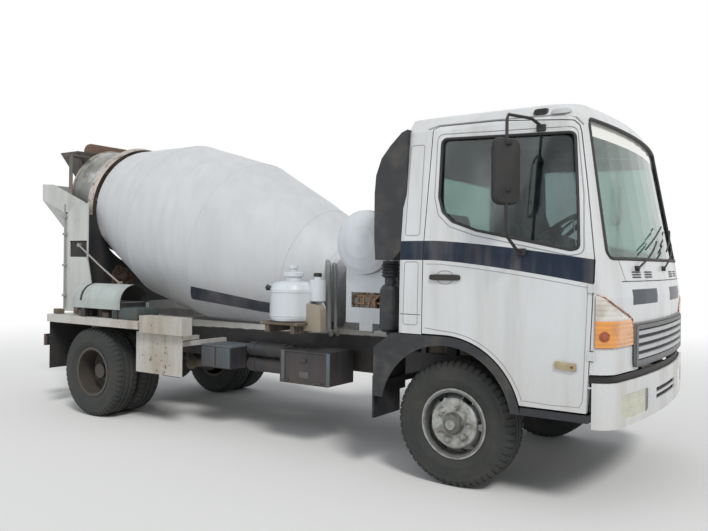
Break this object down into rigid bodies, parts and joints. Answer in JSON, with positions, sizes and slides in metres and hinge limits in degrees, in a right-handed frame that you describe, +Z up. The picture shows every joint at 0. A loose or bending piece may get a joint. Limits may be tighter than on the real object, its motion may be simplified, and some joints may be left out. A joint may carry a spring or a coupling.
{
  "type": "concrete mixer truck",
  "caption": "Cab-over concrete mixer truck with a tilted drum, hopper and swinging chute at the tail, a tilting cab, opening doors and steered front wheels.",
  "frame": {"origin": "on the ground, under the middle of the bounding box", "axes": "+X forwards, +Y to the left, +Z up"},
  "size_m": [6.48, 2.7648, 2.806],
  "materials": {
    "cab_white": "semi-gloss cab paint with a navy waist stripe, dusty",
    "body_white": "worn white paint with rust and cement stains",
    "drum_white": "white drum paint, dusty, with a navy band",
    "chassis_black": "black chassis paint, dusty",
    "engine_grey": "oily grey castings",
    "rim_grey": "dusty silver wheel paint",
    "rim_dark": "dirty dark wheel paint",
    "tyre": "worn dusty rubber",
    "plastic_black": "grained black plastic",
    "glass": "clear window glass",
    "seat_fabric": "grey seat fabric",
    "lamp_cream": "clear lamp lens over a reflector",
    "lamp_amber": "amber and clear lamp lens",
    "lamp_red": "red lamp lens on a dark bar",
    "grille_silver": "silver grille slats in a dark frame",
    "rusty_steel": "bare steel with rust",
    "chute_steel": "worn chute steel with cement",
    "chute_white": "white paint worn off by concrete",
    "box_grey": "grey box and tank paint, dusty"
  },
  "bodies": {
    "root": {"chassis_rails": "chassis_black", "crossmembers": "chassis_black", "sub_frame": "body_white", "front_axle": "chassis_black", "rear_axle": "chassis_black", "engine": "engine_grey", "drive_line": "engine_grey", "bumper": "cab_white", "headlamps": "lamp_cream", "mudguards": "plastic_black", "cab_steps": "plastic_black", "air_cleaner": "plastic_black", "water_tank": "body_white", "oil_vessels": "body_white", "front_pedestal": "body_white", "drum_drive": "engine_grey", "rear_pedestal": "body_white", "roller_beam": "chassis_black", "charge_hopper": "rusty_steel", "discharge_funnel": "body_white", "spare_chute": "chute_white", "rear_deck": "body_white", "side_tanks": "box_grey", "side_skirts": "body_white", "rear_lamps": "lamp_red"},
    "knuckle_left": {"knuckle_left": "chassis_black"},
    "knuckle_right": {"knuckle_right": "chassis_black"},
    "tie_rod": {"tie_rod": "chassis_black"},
    "wheel_front_left": {"rim_front_left": "rim_grey", "tyre_front_left": "tyre"},
    "wheel_front_right": {"rim_front_right": "rim_grey", "tyre_front_right": "tyre"},
    "wheel_rear_left": {"rim_rear_left": "rim_dark", "tyre_rear_left": "tyre"},
    "wheel_rear_right": {"rim_rear_right": "rim_dark", "tyre_rear_right": "tyre"},
    "cab": {"cab_shell": "cab_white", "cab_floor": "cab_white", "cab_glass": "glass", "corner_lamps": "lamp_amber", "grille": "grille_silver", "seats": "seat_fabric", "dashboard": "plastic_black", "air_intake": "plastic_black"},
    "door_left": {"door_left": "cab_white", "door_glass_left": "glass", "mirror_left": "plastic_black"},
    "door_right": {"door_right": "cab_white", "door_glass_right": "glass", "mirror_right": "plastic_black"},
    "drum": {"drum": "drum_white", "drum_ring": "rusty_steel"},
    "roller_left": {"roller_left": "rusty_steel"},
    "roller_right": {"roller_right": "rusty_steel"},
    "chute_post": {"chute_swivel": "chute_steel"},
    "main_chute": {"main_chute": "chute_steel"}
  },
  "joints": [
    {"name": "steer_left", "type": "hinge", "parent": "root", "child": "knuckle_left", "pos_m": [2.09, 0.77, 0.421], "axis": [0, 0, 1], "range_deg": [-33, 33]},
    {"name": "steer_right", "type": "hinge", "parent": "root", "child": "knuckle_right", "pos_m": [2.09, -0.77, 0.421], "axis": [0, 0, 1], "range_deg": [-33, 33]},
    {"name": "tie_rod_slide", "type": "slide", "parent": "root", "child": "tie_rod", "axis": [0, -1, 0], "range_m": [-0.095, 0.095]},
    {"name": "spin_front_left", "type": "hinge", "parent": "knuckle_left", "child": "wheel_front_left", "pos_m": [2.09, 0.873, 0.421], "axis": [0, 1, 0], "continuous": true},
    {"name": "spin_front_right", "type": "hinge", "parent": "knuckle_right", "child": "wheel_front_right", "pos_m": [2.09, -0.873, 0.421], "axis": [0, 1, 0], "continuous": true},
    {"name": "spin_rear_left", "type": "hinge", "parent": "root", "child": "wheel_rear_left", "pos_m": [-1.69, 0.8, 0.421], "axis": [0, 1, 0], "continuous": true},
    {"name": "spin_rear_right", "type": "hinge", "parent": "root", "child": "wheel_rear_right", "pos_m": [-1.69, -0.8, 0.421], "axis": [0, 1, 0], "continuous": true},
    {"name": "cab_tilt", "type": "hinge", "parent": "root", "child": "cab", "pos_m": [3.182, 0, 0.785], "axis": [0, 1, 0], "range_deg": [0, 45]},
    {"name": "door_left_hinge", "type": "hinge", "parent": "cab", "child": "door_left", "pos_m": [3.038, 1.078, 1.1], "axis": [0, 0, -1], "range_deg": [0, 70]},
    {"name": "door_right_hinge", "type": "hinge", "parent": "cab", "child": "door_right", "pos_m": [3.038, -1.078, 1.1], "axis": [0, 0, 1], "range_deg": [0, 70]},
    {"name": "drum_spin", "type": "hinge", "parent": "root", "child": "drum", "pos_m": [0.573, 0, 1.308], "axis": [-0.9613, 0, 0.2756], "continuous": true},
    {"name": "roller_left_spin", "type": "hinge", "parent": "root", "child": "roller_left", "pos_m": [-2.5, 0.4074, 1.5839], "axis": [-0.9613, 0, 0.2756], "continuous": true},
    {"name": "roller_right_spin", "type": "hinge", "parent": "root", "child": "roller_right", "pos_m": [-2.5, -0.4074, 1.5839], "axis": [-0.9613, 0, 0.2756], "continuous": true},
    {"name": "chute_swing", "type": "hinge", "parent": "root", "child": "chute_post", "pos_m": [-3.035, 0, 1], "axis": [0, 0, 1], "range_deg": [0, 180]},
    {"name": "chute_tilt", "type": "hinge", "parent": "chute_post", "child": "main_chute", "pos_m": [-3.035, 0, 1.35], "axis": [-1, 0, 0], "range_deg": [-27, 28]}
  ],
  "couplings": [
    {"joint": "steer_right", "follows": "steer_left", "ratio": 1},
    {"joint": "tie_rod_slide", "follows": "steer_left", "m_per_rad": 0.16},
    {"joint": "roller_left_spin", "follows": "drum_spin", "ratio": -5.4545},
    {"joint": "roller_right_spin", "follows": "drum_spin", "ratio": -5.4545}
  ]
}
